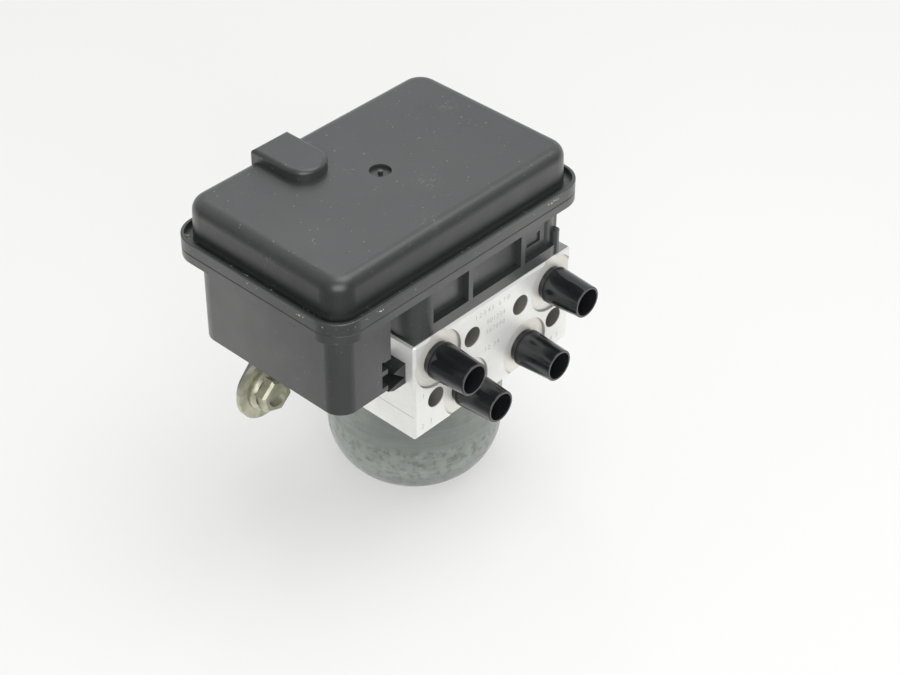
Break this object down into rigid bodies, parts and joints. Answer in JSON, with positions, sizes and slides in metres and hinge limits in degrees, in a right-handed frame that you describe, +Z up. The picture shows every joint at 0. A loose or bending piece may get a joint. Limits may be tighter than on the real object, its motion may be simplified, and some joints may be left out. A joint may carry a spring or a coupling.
{
  "type": "abs brake module",
  "caption": "Anti-lock brake module: dark plastic control unit on a machined aluminium valve block with four capped pipe ports, pump motor below and a flange bolt on its bracket.",
  "frame": {"origin": "centre of the motor's end face, on the motor's axis", "axes": "+Z up the motor's axis towards the control unit, -Y out of the port face, +X along the control unit away from its plug socket"},
  "size_m": [0.1226, 0.0966, 0.1444],
  "materials": {
    "cover_plastic": "satin",
    "housing_plastic": "satin",
    "block_aluminium": "satin",
    "motor_steel": "satin",
    "cap_plastic": "gloss",
    "bolt_zinc": "satin",
    "steel": "satin",
    "copper": "satin",
    "board_green": "satin",
    "magnet_grey": "satin",
    "dark_plastic": "satin"
  },
  "bodies": {
    "module": {"accumulator_cap_1": "block_aluminium", "accumulator_cap_2": "block_aluminium", "board_capacitors": "dark_plastic", "board_chips": "dark_plastic", "bracket_screws": "steel", "brush_1": "magnet_grey", "brush_2": "magnet_grey", "brush_card": "dark_plastic", "circuit_board": "board_green", "connector_pins": "copper", "ecu_cover": "cover_plastic", "ecu_housing": "housing_plastic", "ecu_screws": "steel", "inlet_valves": "steel", "motor_can": "motor_steel", "motor_end_plate": "motor_steel", "motor_lead": "dark_plastic", "motor_magnet_1": "magnet_grey", "motor_magnet_2": "magnet_grey", "motor_screws": "steel", "mounting_bolt": "bolt_zinc", "mounting_bracket": "bolt_zinc", "mounting_washer": "bolt_zinc", "outlet_valves": "steel", "port_cap_1": "cap_plastic", "port_cap_2": "cap_plastic", "port_cap_3": "cap_plastic", "port_cap_4": "cap_plastic", "pump_plug_1": "steel", "pump_plug_2": "steel", "pump_sleeve_1": "steel", "pump_sleeve_2": "steel", "shaft_bearing_lower": "steel", "shaft_bearing_upper": "steel", "side_spacer": "dark_plastic", "solenoid_coils": "copper", "valve_block": "block_aluminium"},
    "rotor": {"motor_shaft": "steel", "rotor_core": "steel", "rotor_windings": "copper", "commutator": "copper"},
    "eccentric_ring": {"eccentric_ring": "steel"},
    "pump_piston_1": {"pump_piston_1": "steel"},
    "pump_piston_2": {"pump_piston_2": "steel"},
    "accumulator_piston_1": {"accumulator_piston_1": "block_aluminium"},
    "accumulator_piston_2": {"accumulator_piston_2": "block_aluminium"}
  },
  "joints": [
    {"name": "rotor_spin", "type": "hinge", "parent": "module", "child": "rotor", "pos_m": [0, 0, 0.03], "axis": [0, 0, 1], "continuous": true},
    {"name": "ring_roll", "type": "hinge", "parent": "rotor", "child": "eccentric_ring", "pos_m": [0, 0.0012, 0.0635], "axis": [0, 0, 1], "continuous": true},
    {"name": "pump_piston_1_slide", "type": "slide", "parent": "module", "child": "pump_piston_1", "axis": [-1, 0, 0], "range_m": [0, 0.0024]},
    {"name": "pump_piston_2_slide", "type": "slide", "parent": "module", "child": "pump_piston_2", "axis": [1, 0, 0], "range_m": [0, 0.0024]},
    {"name": "accumulator_piston_1_slide", "type": "slide", "parent": "module", "child": "accumulator_piston_1", "axis": [0, 1, 0], "range_m": [0, 0.007]},
    {"name": "accumulator_piston_2_slide", "type": "slide", "parent": "module", "child": "accumulator_piston_2", "axis": [0, 1, 0], "range_m": [0, 0.007]}
  ],
  "couplings": [
    {"joint": "ring_roll", "follows": "rotor_spin", "ratio": -1}
  ]
}
